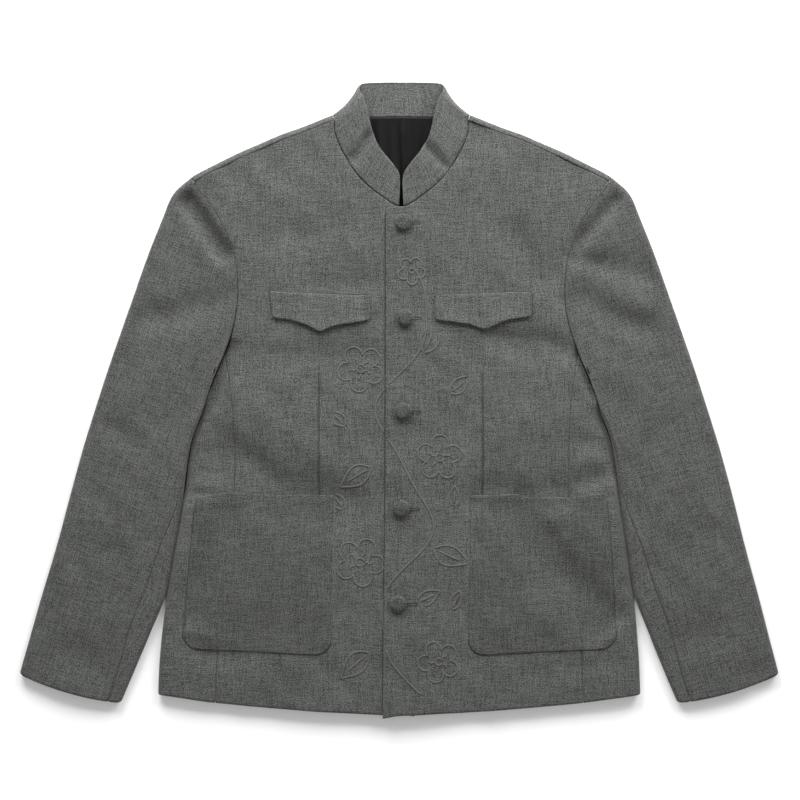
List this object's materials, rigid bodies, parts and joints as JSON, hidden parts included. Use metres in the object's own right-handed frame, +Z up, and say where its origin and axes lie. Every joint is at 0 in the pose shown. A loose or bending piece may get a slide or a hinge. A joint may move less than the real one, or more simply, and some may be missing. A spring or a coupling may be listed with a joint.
{
  "type": "zhongshan jacket",
  "caption": "Stand-collar buttoned wool jacket laid flat on its back, with chest flaps, large patch pockets and long two-piece sleeves.",
  "frame": {"origin": "on the resting surface, under the middle of the bounding box", "axes": "+Z up off the surface, +Y from hem to collar, +X towards the wearer's left sleeve"},
  "size_m": [0.8715, 0.73, 0.022],
  "materials": {
    "wool": "matte worsted wool, mid grey melange with a faint green cast, slubbed plain weave",
    "covered_button": "buttons covered in the same grey wool",
    "satin_lining": "near-black satin with a soft sheen"
  },
  "bodies": {
    "root": {"front_left": "wool", "front_right": "wool", "side_left": "wool", "side_right": "wool", "back": "wool", "top_sleeve_left": "wool", "top_sleeve_right": "wool", "under_sleeve_left": "wool", "under_sleeve_right": "wool", "collar": "wool", "flap_left": "wool", "flap_right": "wool", "pocket_left": "wool", "pocket_right": "wool", "button_1": "covered_button", "button_2": "covered_button", "button_3": "covered_button", "button_4": "covered_button", "button_5": "covered_button", "lining_back": "satin_lining"}
  },
  "joints": []
}
